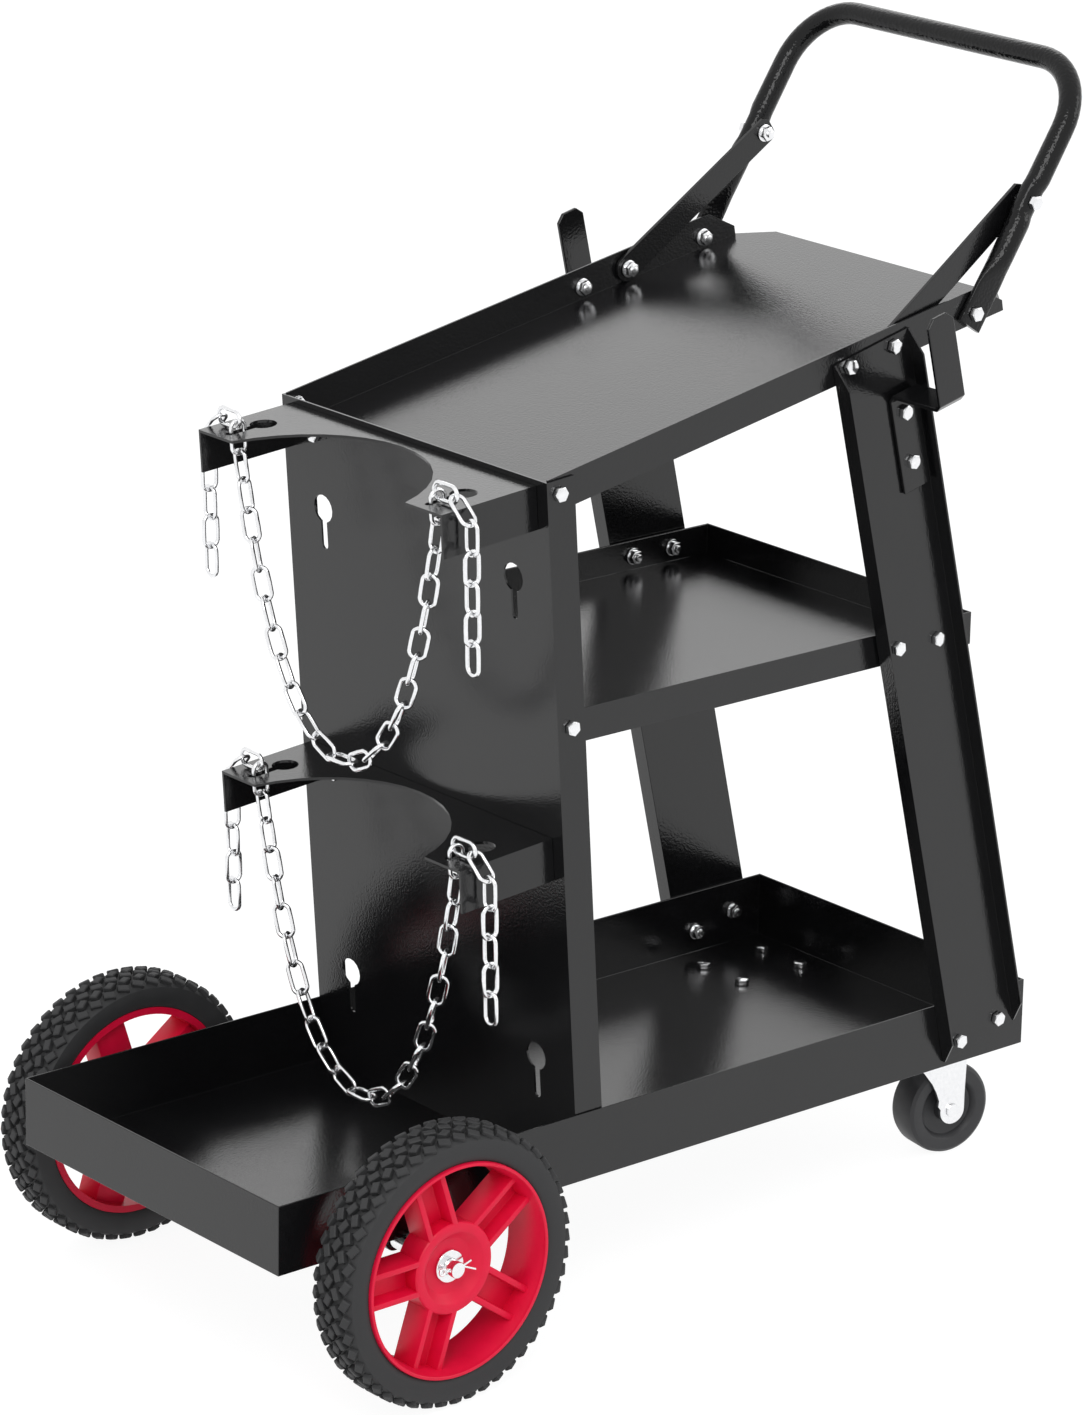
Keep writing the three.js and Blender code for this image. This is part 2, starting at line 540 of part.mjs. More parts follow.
// Casters: fixed plate and king rivet; the fork turns on them and carries the wheel on its axle
for (const [suffix, side] of [['left', 1], ['right', -1]]) {
  const mount = frameAt(SWIVEL_X, side * SWIVEL_Y, -PLAY);
  const plate = block(-42, 42, -31, 31, -2.5, 0);
  const race = rodZ(24, -9, -1, 0, 0, 20);
  const rivetHole = rodZ(5.4, -20, 5, 0, 0, 12);
  addPart(`caster_plate_${suffix}`, cut(join(plate, race), rivetHole), zinc, mount);
  const rivet = join(rodZ(5, -14.5, -0.2, 0, 0, 12), rodZ(9, -15.5, -12.3, 0, 0, 12));
  addPart(`caster_rivet_${suffix}`, rivet, zinc, mount);

  const swivel = new THREE.Group();
  swivel.rotation.z = rad(side * SWIVEL_DEG);
  mount.add(swivel);
  const axleZ = CASTER_AXLE_Z + PLAY;
  const inner = CASTER_WIDTH / 2 + 1;
  const cheek = outline([[-20, -9.4], [34.5, -9.4], [CASTER_TRAIL + 11, axleZ + 12]]);
  cheek.absarc(CASTER_TRAIL, axleZ, 11, 0, -Math.PI * 1.06, true);
  const rear = [[9.2, -52.4], [9.7, -47.6], [7, -40.4], [3, -32.7], [-5.1, -22.1], [-14, -14]];
  rear.forEach(([x, z]) => cheek.lineTo(x, z));
  const cheeks = [1, -1].map((way) => spreadY(cheek, way * inner, way * (inner + 2.5)));
  const crown = rodZ(25, -11.9, -9.4, 0, 0, 20);
  const bridge = block(-20, 34.5, -inner - 1, inner + 1, -11.9, -9.4);
  const axleHole = rodY(4.4, -25, 25, CASTER_TRAIL, axleZ, 12);
  const fork = cut(join(crown, bridge, ...cheeks), axleHole, rodZ(5.4, -20, 5, 0, 0, 12));
  addPart(`caster_fork_${suffix}`, fork, zinc, swivel);
  const bolt = join(
    rodY(4, -inner - 4, inner + 4, CASTER_TRAIL, axleZ, 12),
    rodY(5.5, inner + 2.8, inner + 4.8, CASTER_TRAIL, axleZ, 12),
    rodY(5.5, -inner - 4.8, -inner - 2.8, CASTER_TRAIL, axleZ, 12),
  );
  addPart(`caster_axle_${suffix}`, bolt, zinc, swivel);
  const half = CASTER_WIDTH / 2;
  const wheel = turned([
    [4.4, -half], [9, -half], [11, -half + 6], [21, -half + 6], [24, -half], [33, -half],
    [CASTER_RADIUS, -half + 4], [CASTER_RADIUS, half - 4], [33, half], [24, half], [21, half - 6],
    [11, half - 6], [9, half], [4.4, half],
  ], 24);
  addPart(`caster_wheel_${suffix}`, wheel, casterGrey, swivel).position.set(CASTER_TRAIL, 0, axleZ);
}

// One chain link: an elongated ring of three-sided wire; its long axis is Z and it lies in the XZ plane
function chainLink() {
  const bow = (LINK_WIDTH - WIRE) / 2;
  const reach = (LINK_PITCH + WIRE) / 2;
  const path = [[bow, bow - reach], [bow, reach - bow], [0, reach], [-bow, reach - bow], [-bow, bow - reach]];
  path.push([0, -reach]);
  const outward = [[0.92, -0.38], [0.92, 0.38], [0, 1], [-0.92, 0.38], [-0.92, -0.38], [0, -1]];
  const positions = [];
  path.forEach(([x, z], i) => {
    const [ox, oz] = outward[i];
    for (const [out, up] of [[-1, 0], [0.5, -0.87], [0.5, 0.87]]) {
      positions.push(x + ox * out * WIRE / 2, up * WIRE / 2, z + oz * out * WIRE / 2);
    }
  });
  const faces = [];
  for (let i = 0; i < 6; i += 1) {
    for (let k = 0; k < 3; k += 1) {
      const [a, b] = [i * 3 + k, i * 3 + (k + 1) % 3];
      const [c, d] = [((i + 1) % 6) * 3 + (k + 1) % 3, ((i + 1) % 6) * 3 + k];
      faces.push(a, b, c, a, c, d);
    }
  }
  const geometry = new THREE.BufferGeometry();
  geometry.setAttribute('position', new THREE.BufferAttribute(new Float32Array(positions), 3));
  geometry.setIndex(faces);
  return geometry;
}

// A link between two joint points; flat is the direction in which the link is broad
function linkBetween(start, end, flat) {
  const axis = end.clone().sub(start).normalize();
  const broad = flat.clone().addScaledVector(axis, -flat.dot(axis)).normalize();
  const turn = new THREE.Matrix4().makeBasis(broad, axis.clone().cross(broad), axis);
  turn.setPosition(start.clone().add(end).multiplyScalar(0.5));
  return chainLink().applyMatrix4(turn);
}

// A run of links through joint points in a YZ plane, every other link turned a quarter
function chainRun(points) {
  const links = [];
  for (let i = 0; i + 1 < points.length; i += 1) {
    const axis = points[i + 1].clone().sub(points[i]).normalize();
    const inPlane = new THREE.Vector3(0, axis.z, -axis.y);
    const flat = i % 2 === 0 ? inPlane : new THREE.Vector3(1, 0, 0);
    links.push(linkBetween(points[i], points[i + 1], flat));
  }
  return join(...links);
}

// Chains: hook-in links on each arm, the loop between the arms and the tails outside them
const reach = (LINK_PITCH + WIRE) / 2;
const spacing = LINK_PITCH + LINK_BITE;
const slotLinkZ = -4;
for (const [level, drop] of Object.entries(BRACKET_DROPS)) {
  const hang = { y: 0, z: 0 };
  for (const [suffix, side] of [['left', 1], ['right', -1]]) {
    const wireTop = slotLinkZ + reach;
    const topLinkY = ARM_KEY_Y - WIRE + 0.3 + reach;
    const edgeTopY = topLinkY + reach - WIRE + 0.3;
    const drape = rad(EDGE_LINK_DEG);
    const edgeEnd = { y: edgeTopY + 2 * reach * Math.cos(drape), z: wireTop - 2 * reach * Math.sin(drape) };
    const at = (y, z) => new THREE.Vector3(0, side * y, z);
    const across = new THREE.Vector3(1, 0, 0);
    const upright = new THREE.Vector3(0, 0, 1);
    const held = join(
      linkBetween(at(ARM_KEY_Y, slotLinkZ - reach), at(ARM_KEY_Y, slotLinkZ + reach), across),
      linkBetween(at(topLinkY - reach, wireTop), at(topLinkY + reach, wireTop), upright),
      linkBetween(at(edgeTopY, wireTop), at(edgeEnd.y, edgeEnd.z), across),
    );
    const anchor = addPart(`chain_anchor_${level}_${suffix}`, held, zinc, panelFrame);
    anchor.position.set(-CHAIN_DEPTH, 0, -drop);

    const tailTop = new THREE.Vector3(-CHAIN_DEPTH, side * edgeEnd.y, edgeEnd.z - drop);
    panelFrame.localToWorld(tailTop);
    const tailFrame = frameAt(tailTop.x, tailTop.y, tailTop.z, STANCE_DEG);
    const tailPoints = [];
    for (let i = 0; i <= TAIL_LINKS; i += 1) {
      tailPoints.push(new THREE.Vector3(0, 0, WIRE / 2 + HANG_SLACK + LINK_BITE / 2 - i * spacing));
    }
    addPart(`chain_tail_${level}_${suffix}`, chainRun(tailPoints), zinc, tailFrame);
    hang.y = ARM_KEY_Y;
    hang.z = slotLinkZ - reach - drop;
  }

  const top = panelFrame.localToWorld(new THREE.Vector3(-CHAIN_DEPTH, 0, hang.z));
  const loopFrame = frameAt(top.x, 0, top.z, STANCE_DEG);
  const length = LOOP_LINKS * spacing;
  let low = 20;
  let high = 200;
  for (let i = 0; i < 50; i += 1) {
    const a = (low + high) / 2;
    if (2 * a * Math.sinh(hang.y / a) > length) low = a;
    else high = a;
  }
  const a = (low + high) / 2;
  const points = [];
  for (let i = 0; i <= LOOP_LINKS; i += 1) {
    const s = i * spacing - length / 2;
    const z = Math.sqrt(a * a + s * s) - a * Math.cosh(hang.y / a);
    points.push(new THREE.Vector3(0, a * Math.asinh(s / a), z + WIRE / 2 + HANG_SLACK + LINK_BITE / 2));
  }
  addPart(`chain_loop_${level}`, chainRun(points), zinc, loopFrame);
}

// Set the cart down: tip it to its stance, then put the middle of its footprint over the origin
cart.rotation.y = rad(STANCE_DEG);
cart.updateMatrixWorld(true);
const box = new THREE.Box3().setFromObject(cart, true);
cart.position.set(-(box.min.x + box.max.x) / 2, 0, -box.min.z);

export default cart;
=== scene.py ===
import math

import bpy
from mathutils import Matrix, Vector


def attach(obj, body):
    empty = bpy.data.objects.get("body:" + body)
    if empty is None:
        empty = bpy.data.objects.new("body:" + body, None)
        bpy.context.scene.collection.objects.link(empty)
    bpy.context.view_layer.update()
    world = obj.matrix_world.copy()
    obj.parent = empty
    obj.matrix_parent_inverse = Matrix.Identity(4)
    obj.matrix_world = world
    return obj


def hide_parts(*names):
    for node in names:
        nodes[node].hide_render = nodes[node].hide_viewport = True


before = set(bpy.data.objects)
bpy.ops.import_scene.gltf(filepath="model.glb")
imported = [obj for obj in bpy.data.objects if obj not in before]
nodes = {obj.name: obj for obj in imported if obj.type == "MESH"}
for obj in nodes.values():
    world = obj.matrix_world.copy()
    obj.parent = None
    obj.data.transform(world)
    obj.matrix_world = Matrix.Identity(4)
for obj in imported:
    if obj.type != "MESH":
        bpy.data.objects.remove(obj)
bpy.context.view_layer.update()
scene = bpy.context.scene
scene.view_settings.view_transform = "Standard"

# Studio: the cart stands on a white sweep under three soft boxes.
# The sweep is white to the eye and in reflections, and takes a faint shadow under the wheels.
AIR_LIGHT, AIR_SEEN = 0.95, 1.0
SWEEP_SIZE, SWEEP_Z, SWEEP_COVER, SWEEP_GLOW = 14, -0.0006, 0.82, 1.13
WHITE = (1, 1, 1, 1)
# Name, place, aim, size in metres, watts
SOFT_BOXES = [
    ("key_box", (-1.6, -1.9, 2.6), (0.0, 0.0, 0.35), 1.6, 36),
    ("back_box", (1.9, 2.0, 2.2), (0.0, 0.0, 0.3), 1.8, 8),
    ("side_box", (2.2, -1.6, 1.5), (0.1, 0.0, 0.4), 1.2, 8),
]


def linear(hex_colour):
    """An sRGB hex colour as linear RGBA."""
    parts = [int(hex_colour[i:i + 2], 16) / 255 for i in (1, 3, 5)]
    return tuple(c / 12.92 if c <= 0.04045 else ((c + 0.055) / 1.055) ** 2.4 for c in parts) + (1.0,)


def add_node(tree, kind, values=None, links=None, **settings):
    """Adds one shader node with its settings, input values and links."""
    made = tree.nodes.new(kind)
    for key, value in settings.items():
        setattr(made, key, value)
    for key, value in (values or {}).items():
        made.inputs[key].default_value = value
    for key, source in (links or {}).items():
        tree.links.new(source, made.inputs[key])
    return made


world = bpy.data.worlds.new("studio_air")
scene.world = world
world.use_nodes = True
air = world.node_tree
air.nodes.clear()
air_path = add_node(air, "ShaderNodeLightPath")
air_clear = add_node(air, "ShaderNodeMath", operation="MAXIMUM",
                     links={0: air_path.outputs["Is Camera Ray"],
                            1: air_path.outputs["Is Transmission Ray"]})
air_seen = add_node(air, "ShaderNodeMath", operation="MAXIMUM",
                    links={0: air_clear.outputs[0], 1: air_path.outputs["Is Glossy Ray"]})
air_light = add_node(air, "ShaderNodeBackground", {"Color": linear("#f4f6f8"), "Strength": AIR_LIGHT})
air_white = add_node(air, "ShaderNodeBackground", {"Color": WHITE, "Strength": AIR_SEEN})
air_mix = add_node(air, "ShaderNodeMixShader",
                   links={0: air_seen.outputs[0], 1: air_light.outputs[0], 2: air_white.outputs[0]})
add_node(air, "ShaderNodeOutputWorld", links={"Surface": air_mix.outputs[0]})

bpy.ops.object.select_all(action="DESELECT")
bpy.ops.mesh.primitive_plane_add(size=SWEEP_SIZE, location=(0, 0, SWEEP_Z))
floor = bpy.context.object
floor.name = "studio_floor"
sweep = bpy.data.materials.new("white_sweep")
sweep.use_nodes = True
tree = sweep.node_tree
tree.nodes.clear()
path = add_node(tree, "ShaderNodeLightPath")
met = add_node(tree, "ShaderNodeMath", operation="MAXIMUM",
               links={0: path.outputs["Is Camera Ray"], 1: path.outputs["Is Glossy Ray"]})
seen = add_node(tree, "ShaderNodeMath", {1: SWEEP_COVER}, operation="MULTIPLY", links={0: met.outputs[0]})
paper = add_node(tree, "ShaderNodeBsdfDiffuse", {"Color": linear("#f2f2f2")})
glow = add_node(tree, "ShaderNodeEmission", {"Color": WHITE, "Strength": SWEEP_GLOW})
blend = add_node(tree, "ShaderNodeMixShader",
                 links={0: seen.outputs[0], 1: paper.outputs[0], 2: glow.outputs[0]})
add_node(tree, "ShaderNodeOutputMaterial", links={"Surface": blend.outputs[0]})
floor.data.materials.append(sweep)

for name, place, aim, size, watts in SOFT_BOXES:
    lamp = bpy.data.lights.new(name, "AREA")
    lamp.size = size
    lamp.energy = watts
    box = bpy.data.objects.new(name, lamp)
    box.location = place
    box.rotation_euler = (Vector(aim) - Vector(place)).to_track_quat("-Z", "Y").to_euler()
    scene.collection.objects.link(box)

# Camera: a long lens from the bottle end, a little above, as in the photograph.
# Its place and turn were solved from the straight edges of the sheets.
camera_data = bpy.data.cameras.new("photo_camera")
camera_data.sensor_fit = "VERTICAL"
camera_data.sensor_height = 36
camera_data.lens = 143.465
camera = bpy.data.objects.new("photo_camera", camera_data)
camera.location = (-2.52071, -2.97423, 1.75884)
camera.rotation_euler = [math.radians(a) for a in (70.8016, 0.3441, -40.1524)]
scene.collection.objects.link(camera)
scene.camera = camera

# Black sheet metal: trays, back panel, legs, brackets, hooks and axle clamps.
# Folded steel sheet, powder coated: a semi-gloss black skin with a fine orange peel, a little thicker
# and rounder along the folds.
MM = 0.001
SOFT_CREASE = math.radians(35)
# How far each piece's edges are rounded, in millimetres
SHEET_PIECES = {
    "bottom_tray": 0.5, "middle_tray": 0.5, "top_tray": 0.5, "back_panel": 0.5,
    "leg_left": 0.5, "leg_right": 0.5, "bottle_bracket_upper": 0.6, "bottle_bracket_lower": 0.6,
    "cable_hook_left": 0.8, "cable_hook_right": 0.8, "axle_clamp_left": 0.5, "axle_clamp_right": 0.5,
}
PEEL_GRAIN, PEEL_DEPTH, COAT_CLOUD = 1.6 * MM, 0.13 * MM, 45 * MM


def new_finish(name):
    """A new material, its node tree and its Principled shader."""
    made = bpy.data.materials.new(name)
    made.use_nodes = True
    return made, made.node_tree, made.node_tree.nodes["Principled BSDF"]


powder_coat, tree, coat = new_finish("black_powder_coat")
coat.inputs["IOR"].default_value = 1.5
spot = add_node(tree, "ShaderNodeTexCoord")
peel = add_node(tree, "ShaderNodeTexNoise", {"Scale": 1 / PEEL_GRAIN, "Detail": 2.0, "Roughness": 0.45},
                {"Vector": spot.outputs["Object"]})
cloud = add_node(tree, "ShaderNodeTexNoise", {"Scale": 1 / COAT_CLOUD, "Detail": 3.0},
                 {"Vector": spot.outputs["Object"]})
tint = add_node(tree, "ShaderNodeValToRGB", links={0: cloud.outputs["Fac"]})
tint.color_ramp.elements[0].color = linear("#0c0c0d")
tint.color_ramp.elements[1].color = linear("#131314")
gloss = add_node(tree, "ShaderNodeMapRange", {"To Min": 0.12, "To Max": 0.19},
                 {"Value": cloud.outputs["Fac"]})
skin = add_node(tree, "ShaderNodeBump", {"Strength": 1.0, "Distance": PEEL_DEPTH},
                {"Height": peel.outputs["Fac"]})
tree.links.new(tint.outputs["Color"], coat.inputs["Base Color"])
tree.links.new(gloss.outputs["Result"], coat.inputs["Roughness"])
tree.links.new(skin.outputs["Normal"], coat.inputs["Normal"])


def select_alone(piece):
    """Selects one piece and makes it the active one."""
    bpy.ops.object.select_all(action="DESELECT")
    bpy.context.view_layer.objects.active = piece
    piece.select_set(True)


def rounded_copy(name, width_mm):
    """A merged copy of a CAD node with its edges rounded, as folds and cut edges are under the coat."""
    copy = bpy.data.objects.new(name + "_finish", nodes[name].data.copy())
    copy.data.materials.clear()
    scene.collection.objects.link(copy)
    select_alone(copy)
    bpy.ops.object.mode_set(mode="EDIT")
    bpy.ops.mesh.select_all(action="SELECT")
    bpy.ops.mesh.remove_doubles(threshold=0.00001)
    bpy.ops.mesh.dissolve_limited(angle_limit=math.radians(0.5))
    bpy.ops.object.mode_set(mode="OBJECT")
    bevel = copy.modifiers.new("rounded_edges", "BEVEL")
    bevel.width = width_mm * MM
    bevel.segments = 2
    bevel.limit_method = "ANGLE"
    bevel.angle_limit = math.radians(25)
    bpy.ops.object.modifier_apply(modifier=bevel.name)
    bpy.ops.object.shade_smooth_by_angle(angle=SOFT_CREASE)
    flats = copy.modifiers.new("flat_faces", "WEIGHTED_NORMAL")
    flats.keep_sharp = True
    bpy.ops.object.modifier_apply(modifier=flats.name)
    return copy


for name, width in SHEET_PIECES.items():
    piece = rounded_copy(name, width)
    piece.data.materials.append(powder_coat)
    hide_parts(name)
    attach(piece, "cart")

# Handle: one round steel tube bent to a U, its feet hammered flat and a flat pressed in at each brace
# bolt. A flat steel brace on each side holds it up.
# Hammertone paint: glossy black with small round dimples that break up every highlight.
STANCE = math.radians(1.71)
STAND_AT = (-387.859, 0, 114.653)
CART_TO_GROUND = Matrix.Translation(STAND_AT) @ Matrix.Rotation(STANCE, 4, "Y")
TUBE_RADIUS, TUBE_Y, BEND_RADIUS = 8.55, 149.0, 50.0
TUBE_SIDES, BEND_STEPS = 24, 12
FOOT, CORNER = Vector((630, 0, 577.9)), Vector((745, 0, 754.1))
DIMPLE, DIMPLE_DEPTH = 2.0 * MM, 0.4 * MM
BRACE_EDGE = 0.5


def on_ground(x, y, z):
    """A place in millimetres on the bottom tray's own axes, in metres on the ground."""
    return (CART_TO_GROUND @ Vector((x, y, z))) * MM


hammertone, tree, coat = new_finish("black_hammertone_paint")
coat.inputs["Base Color"].default_value = linear("#0d0d0e")
coat.inputs["Roughness"].default_value = 0.11
coat.inputs["IOR"].default_value = 1.34
spot = add_node(tree, "ShaderNodeTexCoord")
dimple = add_node(tree, "ShaderNodeTexVoronoi", {"Scale": 1 / DIMPLE}, {"Vector": spot.outputs["Object"]},
                  feature="SMOOTH_F1")
skin = add_node(tree, "ShaderNodeBump", {"Strength": 0.8, "Distance": DIMPLE_DEPTH},
                {"Height": dimple.outputs["Distance"]})
tree.links.new(skin.outputs["Normal"], coat.inputs["Normal"])

leg_way = (CORNER - FOOT).normalized()
across = Vector((leg_way.z, 0, -leg_way.x))
straight = (CORNER - FOOT).length - BEND_RADIUS
# Along one leg: distance from the foot, half width, half thickness, how blunt the section is, sideways shift
LEG_SECTIONS = [
    (0, 11.5, 2.4, 0.35, 0), (8, 11.5, 2.4, 0.35, 0), (32, 11.4, 2.45, 0.4, 0), (38, 10.9, 3.6, 0.55, 0),
    (45, 9.9, 6.0, 0.8, 0), (52, 8.95, 8.2, 0.97, 0), (57, 8.75, 8.75, 1, 0), (84, 8.75, 8.75, 1, 0),
    (88, 8.8, 8.3, 0.97, -0.45), (92, 8.95, 7.4, 0.9, -1.35), (96, 9, 7.25, 0.86, -1.5),
    (108, 9, 7.25, 0.86, -1.5), (112, 8.95, 7.4, 0.9, -1.35), (116, 8.8, 8.3, 0.97, -0.45),
    (120, 8.75, 8.75, 1, 0), (straight, 8.55, 8.55, 1, 0),
]
rings = [(FOOT + leg_way * s + Vector((0, TUBE_Y + shift, 0)), Vector((0, 1, 0)), half, thick, blunt)
         for s, half, thick, blunt, shift in LEG_SECTIONS]
bend_hub = CORNER - leg_way * BEND_RADIUS + Vector((0, TUBE_Y - BEND_RADIUS, 0))
for i in range(1, BEND_STEPS + 1):
    turn = math.radians(90) * i / BEND_STEPS
    out = Vector((0, math.cos(turn), 0)) + leg_way * math.sin(turn)
    rings.append((bend_hub + out * BEND_RADIUS, out, TUBE_RADIUS, TUBE_RADIUS, 1))
flip = Vector((1, -1, 1))
rings += [(centre * flip, out * flip, half, thick, blunt)
          for centre, out, half, thick, blunt in reversed(rings)]
tube_points, tube_faces = [], []
for centre, out, half, thick, blunt in rings:
    for k in range(TUBE_SIDES):
        c, s = math.cos(2 * math.pi * k / TUBE_SIDES), math.sin(2 * math.pi * k / TUBE_SIDES)
        wide = half * math.copysign(abs(c) ** blunt, c)
        deep = thick * math.copysign(abs(s) ** blunt, s)
        tube_points.append(on_ground(*(centre + across * wide + out * deep)))
for i in range(len(rings) - 1):
    low, high = i * TUBE_SIDES, (i + 1) * TUBE_SIDES
    for k in range(TUBE_SIDES):
        n = (k + 1) % TUBE_SIDES
        tube_faces.append((low + k, low + n, high + n, high + k))
tube_faces.append(tuple(reversed(range(TUBE_SIDES))))
tube_faces.append(tuple(range((len(rings) - 1) * TUBE_SIDES, len(rings) * TUBE_SIDES)))
tube_mesh = bpy.data.meshes.new("handle_tube_bent")
tube_mesh.from_pydata(tube_points, [], tube_faces)
handle = bpy.data.objects.new("handle_tube_bent", tube_mesh)
scene.collection.objects.link(handle)


def face_outwards(piece):
    """Turns every face of a piece outwards."""
    select_alone(piece)
    bpy.ops.object.mode_set(mode="EDIT")
    bpy.ops.mesh.select_all(action="SELECT")
    bpy.ops.mesh.normals_make_consistent(inside=False)
    bpy.ops.object.mode_set(mode="OBJECT")


face_outwards(handle)
bpy.ops.object.shade_smooth_by_angle(angle=math.radians(40))
handle.data.materials.append(hammertone)
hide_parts("handle_tube")
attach(handle, "cart")
for name in ("handle_brace_left", "handle_brace_right"):
    brace = rounded_copy(name, BRACE_EDGE)
    brace.data.materials.append(powder_coat)
    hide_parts(name)
    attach(brace, "cart")

# Bolts and nuts: M6 hex bolts with a small washer face, nuts on the inside, all bright zinc plated.
# Zinc plate is a clear silvery metal with faint clouding.
HEX_RADIUS, HEAD_HEIGHT, NUT_HEIGHT, SHANK_RADIUS = 5.77, 4.0, 5.0, 3.0
CROWN_SHARE, CROWN_DEPTH, CROWN_SINK = 0.82, 1.2, 0.25
THREAD_DEPTH, WASHER_RIM, WASHER_DEPTH, WASHER_Z = 3, 0.9, 1.0, -0.3
ZINC_HAZE, ZINC_DEPTH = 3 * MM, 0.05 * MM

zinc, tree, plate = new_finish("bright_zinc_plate")
plate.inputs["Metallic"].default_value = 1.0
spot = add_node(tree, "ShaderNodeTexCoord")
haze = add_node(tree, "ShaderNodeTexNoise", {"Scale": 1 / ZINC_HAZE, "Detail": 3.0},
                {"Vector": spot.outputs["Object"]})
tint = add_node(tree, "ShaderNodeValToRGB", links={0: haze.outputs["Fac"]})
tint.color_ramp.elements[0].color = linear("#e4e5e7")
tint.color_ramp.elements[1].color = linear("#f8f8f9")
gloss = add_node(tree, "ShaderNodeMapRange", {"To Min": 0.1, "To Max": 0.22},
                 {"Value": haze.outputs["Fac"]})
skin = add_node(tree, "ShaderNodeBump", {"Strength": 0.3, "Distance": ZINC_DEPTH},
                {"Height": haze.outputs["Fac"]})
tree.links.new(tint.outputs["Color"], plate.inputs["Base Color"])
tree.links.new(gloss.outputs["Result"], plate.inputs["Roughness"])
tree.links.new(skin.outputs["Normal"], plate.inputs["Normal"])


def bevel_all_edges(offset):
    """Bevels every edge of the active piece."""
    bpy.ops.object.mode_set(mode="EDIT")
    bpy.ops.mesh.select_all(action="SELECT")
    bpy.ops.mesh.bevel(offset=offset, segments=2, affect="EDGES")
    bpy.ops.object.mode_set(mode="OBJECT")


bpy.ops.object.select_all(action="DESELECT")
bpy.ops.mesh.primitive_cylinder_add(vertices=6, radius=HEX_RADIUS, depth=HEAD_HEIGHT,
                                    location=(0, 0, HEAD_HEIGHT / 2))
hex_head = bpy.context.object
hex_head.name = "hex_head"
bpy.ops.object.transform_apply(location=True)
bevel_all_edges(0.45)
# The round crown on the head stays selected and joins it
bpy.ops.mesh.primitive_cylinder_add(vertices=24, radius=HEX_RADIUS * CROWN_SHARE, depth=CROWN_DEPTH,
                                    location=(0, 0, HEAD_HEIGHT - CROWN_SINK))
bevel_all_edges(0.4)
hex_head.select_set(True)
bpy.context.view_layer.objects.active = hex_head
bpy.ops.object.join()
bpy.ops.object.transform_apply(location=True)
bpy.ops.object.shade_smooth_by_angle(angle=SOFT_CREASE)

bpy.ops.object.select_all(action="DESELECT")
bpy.ops.mesh.primitive_cylinder_add(vertices=6, radius=HEX_RADIUS, depth=NUT_HEIGHT,
                                    location=(0, 0, NUT_HEIGHT / 2))
hex_nut = bpy.context.object
hex_nut.name = "hex_nut"
bpy.ops.object.transform_apply(location=True)
bevel_all_edges(0.5)
bpy.ops.mesh.primitive_cylinder_add(vertices=20, radius=SHANK_RADIUS, depth=THREAD_DEPTH,
                                    location=(0, 0, NUT_HEIGHT + 1))
thread = bpy.context.object
bevel_all_edges(0.5)
# The washer under the nut stays selected and joins it
bpy.ops.mesh.primitive_cylinder_add(vertices=32, radius=HEX_RADIUS + WASHER_RIM, depth=WASHER_DEPTH,
                                    location=(0, 0, WASHER_Z))
bevel_all_edges(0.25)
thread.select_set(True)
hex_nut.select_set(True)
bpy.context.view_layer.objects.active = hex_nut
bpy.ops.object.join()
bpy.ops.object.transform_apply(location=True)
bpy.ops.object.shade_smooth_by_angle(angle=SOFT_CREASE)


def placed_copy(pattern, name, place, axis, spin=0.0):
    """A copy of a pattern with its own mesh, at a place on the tray's axes and pointing along axis."""
    copy = bpy.data.objects.new(name, pattern.data.copy())
    stand = Vector(axis).to_track_quat("Z", "X").to_matrix().to_4x4() @ Matrix.Rotation(spin, 4, "Z")
    copy.data.transform(Matrix.Scale(MM, 4) @ CART_TO_GROUND @ Matrix.Translation(place) @ stand)
    scene.collection.objects.link(copy)
    return copy


def joined(name, copies):
    """Several copies made one piece."""
    bpy.ops.object.select_all(action="DESELECT")
    for copy in copies:
        copy.select_set(True)
    bpy.context.view_layer.objects.active = copies[0]
    bpy.ops.object.join()
    copies[0].name = name
    return copies[0]


SIDES = (("left", 1), ("right", -1))
SHELF_INSIDE, POST_OUTSIDE, NUT_SINK, BRACE_BOLT_AT = 144.6, 148.5, 0.8, 102
brace_top = FOOT + leg_way * BRACE_BOLT_AT
# Name, place along and up, where the head bears, where the nut bears, whether it stands for a CAD bolt
CROSS_BOLTS = [
    ("post_top", 242.6, 518, POST_OUTSIDE, SHELF_INSIDE, True),
    ("post_middle", 257.6, 346, POST_OUTSIDE, SHELF_INSIDE, True),
    ("leg_top_rear", 513, 566, 148.7, SHELF_INSIDE, True),
    ("leg_top_front", 555.5, 574.7, 148.7, SHELF_INSIDE - 4, True),
    ("handle_lug", 633.5, 587.5, 151.8, SHELF_INSIDE, True),
    ("brace_top", brace_top.x, brace_top.z, 154.9, 135.4, True),
    ("leg_middle_rear", 570, 345, 149.8, SHELF_INSIDE, False),
    ("leg_middle_front", 610, 345, 149.8, SHELF_INSIDE, False),
    ("leg_foot_rear", 648.5, 19, 151.9, 148.3, False),
    ("leg_foot_front", 688, 27.8, 151.9, 148.3, False),
    ("hook_upper", 566.2, 524.7, 151.9, 146.8, False),
    ("hook_lower", 575.5, 486.4, 151.9, 147.0, False),
]
